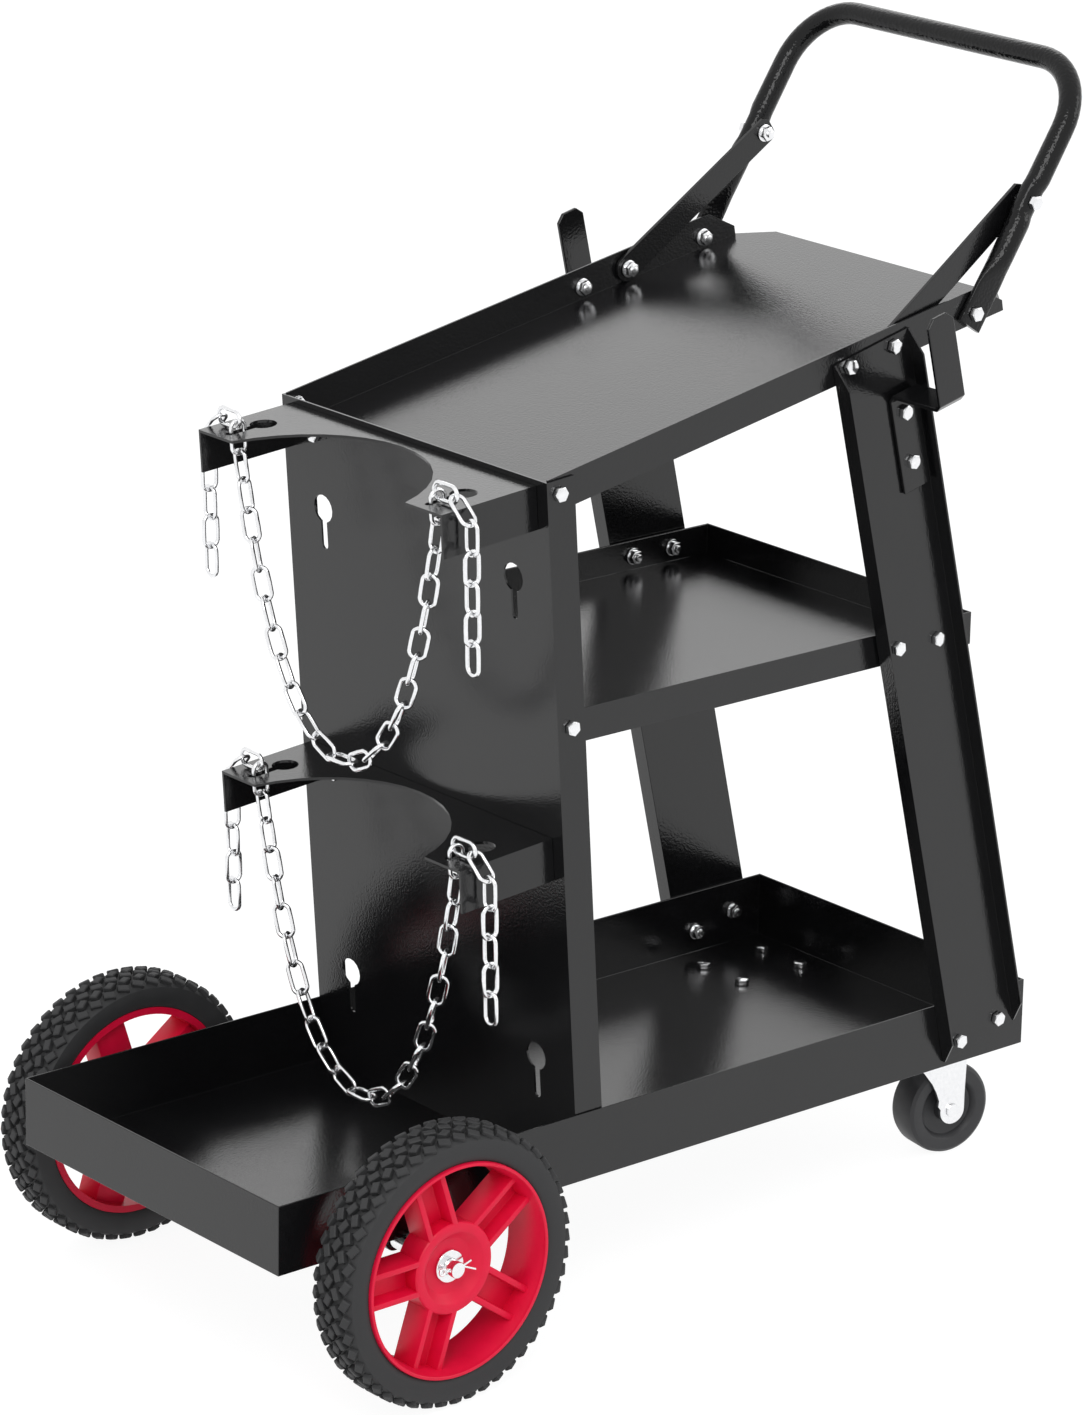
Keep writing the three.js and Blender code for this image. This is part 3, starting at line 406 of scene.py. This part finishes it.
for name, x, z, head_y, nut_y, in_cad in CROSS_BOLTS:
    for suffix, side in SIDES:
        # Each bolt was tightened to an angle of its own
        spin = 0.6 * x + side
        pair = [placed_copy(hex_head, "bolt", (x, side * head_y, z), (0, side, 0), spin),
                placed_copy(hex_nut, "nut", (x, side * (nut_y - NUT_SINK), z), (0, -side, 0), spin + 0.4)]
        bolt = joined(f"hex_bolt_{name}_{suffix}", pair)
        bolt.data.materials.append(zinc)
        if in_cad:
            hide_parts(f"bolt_{name}_{suffix}")
        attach(bolt, "cart")

CASTER_BOLT_X, CASTER_BOLT_Y, TRAY_FLOOR = (630.5, 692.5), (72.5, 117.5), 1.4
floor_bolts = [placed_copy(hex_head, "bolt", (x, side * y, TRAY_FLOOR), (0, 0, 1), 0.3 * x + y)
               for x in CASTER_BOLT_X for y in CASTER_BOLT_Y for side in (1, -1)]
floor_bolts = joined("caster_plate_bolts", floor_bolts)
floor_bolts.data.materials.append(zinc)
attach(floor_bolts, "cart")

PANEL_LEAN, PANEL_TOP = math.radians(4.49), (231.5, 0, 527)
PANEL = Matrix.Translation(PANEL_TOP) @ Matrix.Rotation(-PANEL_LEAN, 4, "Y")
BRACKET_DROPS = {"upper": 4.0, "lower": 265.8}
BRACKET_FACE, BRACKET_BOLT_Y, BRACKET_BOLT_DROP = -2.4, 108, 17
for level, drop in BRACKET_DROPS.items():
    heads = [placed_copy(hex_head, "bolt",
                         PANEL @ Vector((BRACKET_FACE, side * BRACKET_BOLT_Y, -drop - BRACKET_BOLT_DROP)),
                         PANEL.to_3x3() @ Vector((-1, 0, 0)), side) for side in (1, -1)]
    heads = joined(f"bracket_bolts_{level}", heads)
    heads.data.materials.append(zinc)
    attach(heads, "cart")

# Chains: welded long-link chain of bright zinc wire, each link passed through the next.
# One link stands in the slot of each arm; the loop hangs between the arms and the tails hang outside.
WIRE, WIRE_TRIM, LINK_PITCH, LINK_WIDTH = 3.2, 0.06, 21.5, 15.4
LINK_REACH = (LINK_PITCH + WIRE) / 2
LINK_BOW = (LINK_WIDTH - WIRE) / 2
FORWARD, SIDEWAYS, UP = Vector((1, 0, 0)), Vector((0, 1, 0)), Vector((0, 0, 1))
PLUMB = Matrix.Rotation(-STANCE, 4, "Y")
ARM_Y, CHAIN_DEPTH, SLOT_LINK_Z, EDGE_DRAPE = 112.5, 67.5, -4.0, math.radians(45)
LOOP_LINKS, TAIL_LINKS, SLACK = 23, 5, 0.2
LOOP_ROLL, UNROLLED_LINKS, SAG_HALVINGS = math.radians(40), 3, 60
bpy.ops.object.select_all(action="DESELECT")
bpy.ops.mesh.primitive_torus_add(major_radius=LINK_BOW, minor_radius=WIRE / 2 - WIRE_TRIM,
                                 major_segments=28, minor_segments=10, rotation=(math.radians(90), 0, 0))
link = bpy.context.object
link.name = "chain_link"
bpy.ops.object.transform_apply(rotation=True)
# The ring is drawn out to a long link, first its upper half and then its lower half
for end in (1, -1):
    bpy.ops.object.mode_set(mode="EDIT")
    bpy.ops.mesh.select_all(action="DESELECT")
    bpy.ops.object.mode_set(mode="OBJECT")
    for vertex in link.data.vertices:
        vertex.select = vertex.co.z * end > 0.01
    bpy.ops.object.mode_set(mode="EDIT")
    bpy.ops.transform.translate(value=(0, 0, end * (LINK_REACH - LINK_BOW)))
    bpy.ops.object.mode_set(mode="OBJECT")
bpy.ops.object.shade_smooth()


def link_between(start, end, broad):
    """A chain link midway between two places on the tray's axes, broad in the given direction."""
    axis = (end - start).normalized()
    wide = (broad - axis * broad.dot(axis)).normalized()
    turn = Matrix((wide, axis.cross(wide), axis)).transposed().to_4x4()
    copy = bpy.data.objects.new("link", link.data.copy())
    copy.data.transform(Matrix.Scale(MM, 4) @ CART_TO_GROUND @ Matrix.Translation((start + end) / 2) @ turn)
    scene.collection.objects.link(copy)
    return copy


for level, drop in BRACKET_DROPS.items():
    arm = PANEL @ Matrix.Translation((-CHAIN_DEPTH, 0, -drop))
    for suffix, side in SIDES:
        top_z = SLOT_LINK_Z + LINK_REACH
        top_y = ARM_Y - WIRE + LINK_REACH
        edge_y = top_y + LINK_REACH - WIRE
        end_y = edge_y + 2 * LINK_REACH * math.cos(EDGE_DRAPE)
        end_z = top_z - 2 * LINK_REACH * math.sin(EDGE_DRAPE)
        spots = [(ARM_Y, SLOT_LINK_Z - LINK_REACH, ARM_Y, top_z, FORWARD),
                 (top_y - LINK_REACH, top_z, top_y + LINK_REACH, top_z, UP),
                 (edge_y, top_z, end_y, end_z, FORWARD)]
        held = [link_between(arm @ Vector((0, side * y0, z0)), arm @ Vector((0, side * y1, z1)), broad)
                for y0, z0, y1, z1, broad in spots]
        anchor = joined(f"chain_held_{level}_{suffix}", held)
        anchor.data.materials.append(zinc)
        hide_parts(f"chain_anchor_{level}_{suffix}")
        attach(anchor, "cart")
        hang = Matrix.Translation(arm @ Vector((0, side * end_y, end_z))) @ PLUMB
        joints = [hang @ Vector((0, 0, WIRE / 2 + SLACK - i * LINK_PITCH)) for i in range(TAIL_LINKS + 1)]
        links = [link_between(start, end, FORWARD if i % 2 else SIDEWAYS)
                 for i, (start, end) in enumerate(zip(joints, joints[1:]))]
        tail = joined(f"chain_end_{level}_{suffix}", links)
        tail.data.materials.append(zinc)
        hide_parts(f"chain_tail_{level}_{suffix}")
        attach(tail, f"chain_tail_{level}_{suffix}")
    # The loop hangs in a catenary, whose sag is found by halving
    hang = Matrix.Translation(arm @ Vector((0, 0, SLOT_LINK_Z - LINK_REACH))) @ PLUMB
    length = LOOP_LINKS * LINK_PITCH
    slack, tight = 20.0, 200.0
    for _ in range(SAG_HALVINGS):
        sag = (slack + tight) / 2
        if 2 * sag * math.sinh(ARM_Y / sag) > length:
            slack = sag
        else:
            tight = sag
    joints = []
    for i in range(LOOP_LINKS + 1):
        s = i * LINK_PITCH - length / 2
        drop_z = math.hypot(sag, s) - sag * math.cosh(ARM_Y / sag) + WIRE / 2 + SLACK
        joints.append(hang @ Vector((0, sag * math.asinh(s / sag), drop_z)))
    links = []
    for i, (start, end) in enumerate(zip(joints, joints[1:])):
        normal = (end - start).normalized().cross(FORWARD)
        eased = min(1, min(i, LOOP_LINKS - 1 - i) / UNROLLED_LINKS)
        roll = LOOP_ROLL * eased * math.cos(math.pi * i / (LOOP_LINKS - 1))
        broad = normal * math.cos(roll) + FORWARD * math.sin(roll)
        links.append(link_between(start, end, broad.cross(end - start) if i % 2 else broad))
    loop = joined(f"chain_droop_{level}", links)
    loop.data.materials.append(zinc)
    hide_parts(f"chain_loop_{level}")
    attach(loop, f"chain_loop_{level}")

# Big wheels: a red moulded rim with five ribbed spokes and a solid rubber tyre pressed over it.
# The rim is satin polypropylene; the tyre is dark matt rubber with rows of square studs.
AXLE_X, AXLE_Z, WHEEL_Y, SPOKES = 116.4, -8.2, 186.35, 5
RIM_FLOW, RIM_GRIT, RIM_DEPTH = 14 * MM, 0.9 * MM, 0.04 * MM
TYRE_BLOOM, TYRE_GRIT, TYRE_DEPTH = 11 * MM, 1.1 * MM, 0.08 * MM

rim_red, tree, moulding = new_finish("red_polypropylene_moulding")
moulding.inputs["IOR"].default_value = 1.38
spot = add_node(tree, "ShaderNodeTexCoord")
flow = add_node(tree, "ShaderNodeTexNoise", {"Scale": 1 / RIM_FLOW, "Detail": 3.0},
                {"Vector": spot.outputs["Object"]})
grit = add_node(tree, "ShaderNodeTexNoise", {"Scale": 1 / RIM_GRIT, "Detail": 1.0},
                {"Vector": spot.outputs["Object"]})
tint = add_node(tree, "ShaderNodeValToRGB", links={0: flow.outputs["Fac"]})
tint.color_ramp.elements[0].color = linear("#cf0731")
tint.color_ramp.elements[1].color = linear("#e30b3d")
gloss = add_node(tree, "ShaderNodeMapRange", {"To Min": 0.38, "To Max": 0.5},
                 {"Value": flow.outputs["Fac"]})
skin = add_node(tree, "ShaderNodeBump", {"Strength": 0.25, "Distance": RIM_DEPTH},
                {"Height": grit.outputs["Fac"]})
tree.links.new(tint.outputs["Color"], moulding.inputs["Base Color"])
tree.links.new(gloss.outputs["Result"], moulding.inputs["Roughness"])
tree.links.new(skin.outputs["Normal"], moulding.inputs["Normal"])

tyre_rubber, tree, rubber = new_finish("dark_tyre_rubber")
rubber.inputs["IOR"].default_value = 1.52
spot = add_node(tree, "ShaderNodeTexCoord")
bloom = add_node(tree, "ShaderNodeTexNoise", {"Scale": 1 / TYRE_BLOOM, "Detail": 4.0},
                 {"Vector": spot.outputs["Object"]})
grit = add_node(tree, "ShaderNodeTexNoise", {"Scale": 1 / TYRE_GRIT, "Detail": 2.0},
                {"Vector": spot.outputs["Object"]})
tint = add_node(tree, "ShaderNodeValToRGB", links={0: bloom.outputs["Fac"]})
tint.color_ramp.elements[0].color = linear("#212122")
tint.color_ramp.elements[1].color = linear("#2f2f30")
gloss = add_node(tree, "ShaderNodeMapRange", {"To Min": 0.6, "To Max": 0.8},
                 {"Value": bloom.outputs["Fac"]})
skin = add_node(tree, "ShaderNodeBump", {"Strength": 0.4, "Distance": TYRE_DEPTH},
                {"Height": grit.outputs["Fac"]})
tree.links.new(tint.outputs["Color"], rubber.inputs["Base Color"])
tree.links.new(gloss.outputs["Result"], rubber.inputs["Roughness"])
tree.links.new(skin.outputs["Normal"], rubber.inputs["Normal"])


def spun(name, profile, steps):
    """A closed profile of radius and height in millimetres, spun about the Y axis."""
    mesh = bpy.data.meshes.new(name)
    count = len(profile)
    mesh.from_pydata([(0, y, -r) for r, y in profile], [(i, (i + 1) % count) for i in range(count)], [])
    made = bpy.data.objects.new(name, mesh)
    scene.collection.objects.link(made)
    select_alone(made)
    bpy.ops.object.mode_set(mode="EDIT")
    bpy.ops.mesh.select_all(action="SELECT")
    bpy.ops.mesh.spin(steps=steps, angle=2 * math.pi, center=(0, 0, 0), axis=(0, 1, 0))
    bpy.ops.mesh.select_all(action="SELECT")
    bpy.ops.mesh.remove_doubles(threshold=0.01)
    bpy.ops.mesh.normals_make_consistent(inside=False)
    bpy.ops.object.mode_set(mode="OBJECT")
    bpy.ops.object.shade_smooth_by_angle(angle=SOFT_CREASE)
    return made


barrel = spun("rim_barrel", [
    (74.5, -18), (79.7, -18), (79.7, 19.4), (79.2, 20.2), (77.6, 20.3), (77.0, 19.8), (76.6, 17.5),
    (75.0, 14.5), (74.2, 0),
], 96)
hub = spun("rim_hub", [
    (6.4, -26), (12, -26), (14, -10), (33, -10), (34, -8.5), (34, 11.8), (33.2, 12.8), (32.4, 13),
    (27.2, 13), (26.2, 12.4), (21, 6.6), (20, 6.2), (6.4, 6.2),
], 72)
# Section of a spoke, across and outwards: a trough between two ribs
TROUGH = [(-13.5, -10), (13.5, -10), (13.5, 12.8), (9, 12.8), (8.6, 0.5), (-8.6, 0.5), (-9, 12.8),
          (-13.5, 12.8)]
SPOKE_ENDS, SPOKE_EDGE = (-28, -76.8), 0.9
sides = len(TROUGH)
spoke_faces = [tuple(range(sides)), tuple(reversed(range(sides, 2 * sides)))]
spoke_faces += [(k, k + sides, (k + 1) % sides + sides, (k + 1) % sides) for k in range(sides)]
spoke_mesh = bpy.data.meshes.new("spoke")
spoke_mesh.from_pydata([(x, y, z) for x in SPOKE_ENDS for z, y in TROUGH], [], spoke_faces)
spoke = bpy.data.objects.new("spoke", spoke_mesh)
scene.collection.objects.link(spoke)
face_outwards(spoke)
bevel = spoke.modifiers.new("moulded_edges", "BEVEL")
bevel.width = SPOKE_EDGE
bevel.segments = 2
bpy.ops.object.modifier_apply(modifier=bevel.name)
bpy.ops.object.shade_smooth_by_angle(angle=SOFT_CREASE)
rim_parts = [barrel, hub, spoke]
for i in range(1, SPOKES):
    copy = bpy.data.objects.new("spoke", spoke.data.copy())
    copy.data.transform(Matrix.Rotation(2 * math.pi * i / SPOKES, 4, "Y"))
    scene.collection.objects.link(copy)
    rim_parts.append(copy)
rim_pattern = joined("rim_pattern", rim_parts)

carcass = spun("tyre_carcass", [
    (80.0, -17.6), (81.5, -18.8), (86, -20.1), (92, -20.35), (95.6, -19.6), (97.4, -17.6), (98.4, -12),
    (98.6, 0), (98.4, 12), (97.4, 17.6), (95.6, 19.6), (92, 20.35), (86, 20.1), (81.5, 18.8), (80.0, 17.6),
], 120)
STUD_SIZE, STUD_RADIUS, STUD_EDGE, STUD_TWIST = (8.6, 5.8, 5.0), 100.3, 0.7, math.radians(28)
STUD_ROWS, STUDS_ROUND = (-15.4, -7.8, 0.0, 7.8, 15.4), 48
SHOULDER_FROM, SHOULDER_DROP, SHOULDER_LEAN = 12, 1.5, 0.4
bpy.ops.object.select_all(action="DESELECT")
bpy.ops.mesh.primitive_cube_add(size=1, location=(0, 0, 0))
stud = bpy.context.object
stud.scale = STUD_SIZE
bpy.ops.object.transform_apply(scale=True)
bpy.ops.object.mode_set(mode="EDIT")
bpy.ops.mesh.select_all(action="DESELECT")
bpy.ops.object.mode_set(mode="OBJECT")
# The buried underside is cut away, and the edge of the top is taken off
for face in stud.data.polygons:
    face.select = face.normal.z < -0.9
bpy.ops.object.mode_set(mode="EDIT")
bpy.ops.mesh.delete(type="FACE")
bpy.ops.mesh.select_all(action="DESELECT")
bpy.ops.object.mode_set(mode="OBJECT")
for face in stud.data.polygons:
    face.select = face.normal.z > 0.9
bpy.ops.object.mode_set(mode="EDIT")
bpy.ops.mesh.bevel(offset=STUD_EDGE, segments=1, affect="EDGES")
bpy.ops.object.mode_set(mode="OBJECT")
studs = []
for row, y in enumerate(STUD_ROWS):
    drop, lean_by = 0.0, 0.0
    if abs(y) > SHOULDER_FROM:
        drop, lean_by = SHOULDER_DROP, math.copysign(SHOULDER_LEAN, y)
    lean = Matrix.Rotation(lean_by, 4, "X").inverted()
    twist = Matrix.Rotation(STUD_TWIST if row % 2 else -STUD_TWIST, 4, "Z")
    for k in range(STUDS_ROUND):
        turn = Matrix.Rotation(2 * math.pi * (k + 0.5 * (row % 2)) / STUDS_ROUND, 4, "Y")
        copy = bpy.data.objects.new("stud", stud.data.copy())
        copy.data.transform(turn @ Matrix.Translation((0, y, STUD_RADIUS - drop)) @ lean @ twist)
        scene.collection.objects.link(copy)
        studs.append(copy)
tyre_pattern = joined("tyre_pattern", [carcass] + studs)

washer_pattern = spun("washer_pattern", [
    (6.3, 6.5), (11.6, 6.5), (12, 6.9), (12, 8.0), (11.6, 8.4), (6.3, 8.4),
], 48)
for suffix, side in SIDES:
    stand = CART_TO_GROUND @ Matrix.Translation((AXLE_X, side * WHEEL_Y, AXLE_Z))
    if side < 0:
        stand = stand @ Matrix.Rotation(math.pi, 4, "X")
    for pattern, name, node, body, finish, slot in (
            (rim_pattern, "spoked_rim", "wheel_rim", f"wheel_{suffix}", rim_red, "red_rim"),
            (tyre_pattern, "studded_tyre", "wheel_tyre", f"wheel_{suffix}", tyre_rubber, "tyre_rubber"),
            (washer_pattern, "hub_washer", "axle_washer", "cart", zinc, "zinc")):
        piece = bpy.data.objects.new(f"{name}_{suffix}", pattern.data.copy())
        piece.data.transform(Matrix.Scale(MM, 4) @ stand)
        scene.collection.objects.link(piece)
        piece.data.materials.append(finish)
        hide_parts(f"{node}_{suffix}")
        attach(piece, body)

# Axle: a plain zinc plated steel rod with turned ends, clamped under the tray.
# A spacer stands inside each wheel, and a split pin of bent wire outside it keeps the wheel on.
ROD_RADIUS, ROD_LENGTH, ROD_EDGE, SPACER_EDGE = 6, 408, 1.1, 0.4
PIN_Y, PIN_WIRE, PIN_EYE, PIN_EYE_AT = 199.3, 0.9, 2.3, (-10.6, 0, 0)
# Each run of pin wire: middle, half length along the pin, lean of its axis
PIN_RUNS = [
    ((0, 0, 0.7), 9.0, 0.0), ((0, 0, -0.7), 9.0, 0.0), ((11.6, 0, 1.6), 3.2, -0.3),
    ((13.8, 0, -2.9), 5.5, 0.42),
]
bpy.ops.object.select_all(action="DESELECT")
bpy.ops.mesh.primitive_cylinder_add(vertices=40, radius=ROD_RADIUS, depth=ROD_LENGTH,
                                    rotation=(math.radians(90), 0, 0))
rod = bpy.context.object
rod.name = "axle_bar"
bpy.ops.object.transform_apply(rotation=True)
bevel = rod.modifiers.new("turned_ends", "BEVEL")
bevel.width = ROD_EDGE
bevel.segments = 2
bevel.limit_method = "ANGLE"
bevel.angle_limit = math.radians(40)
bpy.ops.object.modifier_apply(modifier=bevel.name)
bpy.ops.object.shade_smooth_by_angle(angle=SOFT_CREASE)
rod.data.transform(Matrix.Scale(MM, 4) @ CART_TO_GROUND @ Matrix.Translation((AXLE_X, 0, AXLE_Z)))
rod.data.materials.append(zinc)
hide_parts("axle_rod")
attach(rod, "cart")
for name in ("axle_spacer_left", "axle_spacer_right"):
    piece = rounded_copy(name, SPACER_EDGE)
    piece.data.materials.append(zinc)
    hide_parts(name)
    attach(piece, "cart")
for suffix, side in SIDES:
    wires = []
    for place, half, lean in PIN_RUNS:
        bpy.ops.mesh.primitive_cylinder_add(vertices=14, radius=PIN_WIRE, depth=2 * half)
        wire = bpy.context.object
        wire.data.transform(Matrix.Translation(place) @ Matrix.Rotation(lean, 4, "Y")
                            @ Matrix.Rotation(math.pi / 2, 4, "Y"))
        wires.append(wire)
    bpy.ops.mesh.primitive_torus_add(major_radius=PIN_EYE, minor_radius=PIN_WIRE, major_segments=24,
                                     minor_segments=10, rotation=(math.radians(90), 0, 0))
    bpy.ops.object.transform_apply(rotation=True)
    eye = bpy.context.object
    eye.data.transform(Matrix.Translation(PIN_EYE_AT))
    pin = joined(f"split_pin_bent_{suffix}", wires + [eye])
    bpy.ops.object.shade_smooth_by_angle(angle=math.radians(40))
    pin_at = Matrix.Translation((AXLE_X, side * PIN_Y, AXLE_Z))
    pin.data.transform(Matrix.Scale(MM, 4) @ CART_TO_GROUND @ pin_at)
    pin.data.materials.append(zinc)
    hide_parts(f"split_pin_{suffix}")
    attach(pin, "cart")

# Casters: pressed and zinc plated plate and fork, and a grey rubber wheel on a riveted axle.
# The fork is pale, finely blasted zinc; the wheel is smooth moulded rubber.
SWIVEL_X, SWIVEL_Y, SWIVEL_TURN = 661.5, 95, math.radians(9.4)
TRAIL, CASTER_AXLE_Z, CASTER_EDGE, CASTER_BLOOM = 22.3, -57.7, 0.5, 8 * MM
caster_rubber, tree, rubber = new_finish("grey_caster_rubber")
rubber.inputs["Base Color"].default_value = linear("#29292b")
spot = add_node(tree, "ShaderNodeTexCoord")
bloom = add_node(tree, "ShaderNodeTexNoise", {"Scale": 1 / CASTER_BLOOM, "Detail": 3.0},
                 {"Vector": spot.outputs["Object"]})
gloss = add_node(tree, "ShaderNodeMapRange", {"To Min": 0.42, "To Max": 0.6},
                 {"Value": bloom.outputs["Fac"]})
tree.links.new(gloss.outputs["Result"], rubber.inputs["Roughness"])
roller_pattern = spun("roller_pattern", [
    (4.4, -13.8), (9, -13.8), (10, -13.2), (11, -8.4), (20, -7.8), (22, -8.6), (24.4, -13), (25.6, -13.8),
    (33, -13.8), (35.5, -12), (36.5, -9), (36.5, 9), (35.5, 12), (33, 13.8), (25.6, 13.8), (24.4, 13),
    (22, 8.6), (20, 7.8), (11, 8.4), (10, 13.2), (9, 13.8), (4.4, 13.8),
], 72)
for suffix, side in SIDES:
    swivel = CART_TO_GROUND @ Matrix.Translation((SWIVEL_X, side * SWIVEL_Y, 0))
    swivel = swivel @ Matrix.Rotation(side * SWIVEL_TURN, 4, "Z")
    roller = bpy.data.objects.new(f"caster_roller_{suffix}", roller_pattern.data.copy())
    roller.data.transform(Matrix.Scale(MM, 4) @ swivel @ Matrix.Translation((TRAIL, 0, CASTER_AXLE_Z)))
    scene.collection.objects.link(roller)
    roller.data.materials.append(caster_rubber)
    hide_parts(f"caster_wheel_{suffix}")
    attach(roller, f"caster_roller_{suffix}")
    for name, body in (("caster_plate", "cart"), ("caster_rivet", "cart"),
                       ("caster_fork", f"caster_fork_{suffix}"), ("caster_axle", f"caster_fork_{suffix}")):
        piece = rounded_copy(f"{name}_{suffix}", CASTER_EDGE)
        piece.data.materials.append(zinc)
        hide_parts(f"{name}_{suffix}")
        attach(piece, body)

# The patterns that were copied are no pieces of the cart
for pattern in (hex_head, hex_nut, link, rim_pattern, tyre_pattern, washer_pattern, roller_pattern, stud):
    bpy.data.objects.remove(pattern)
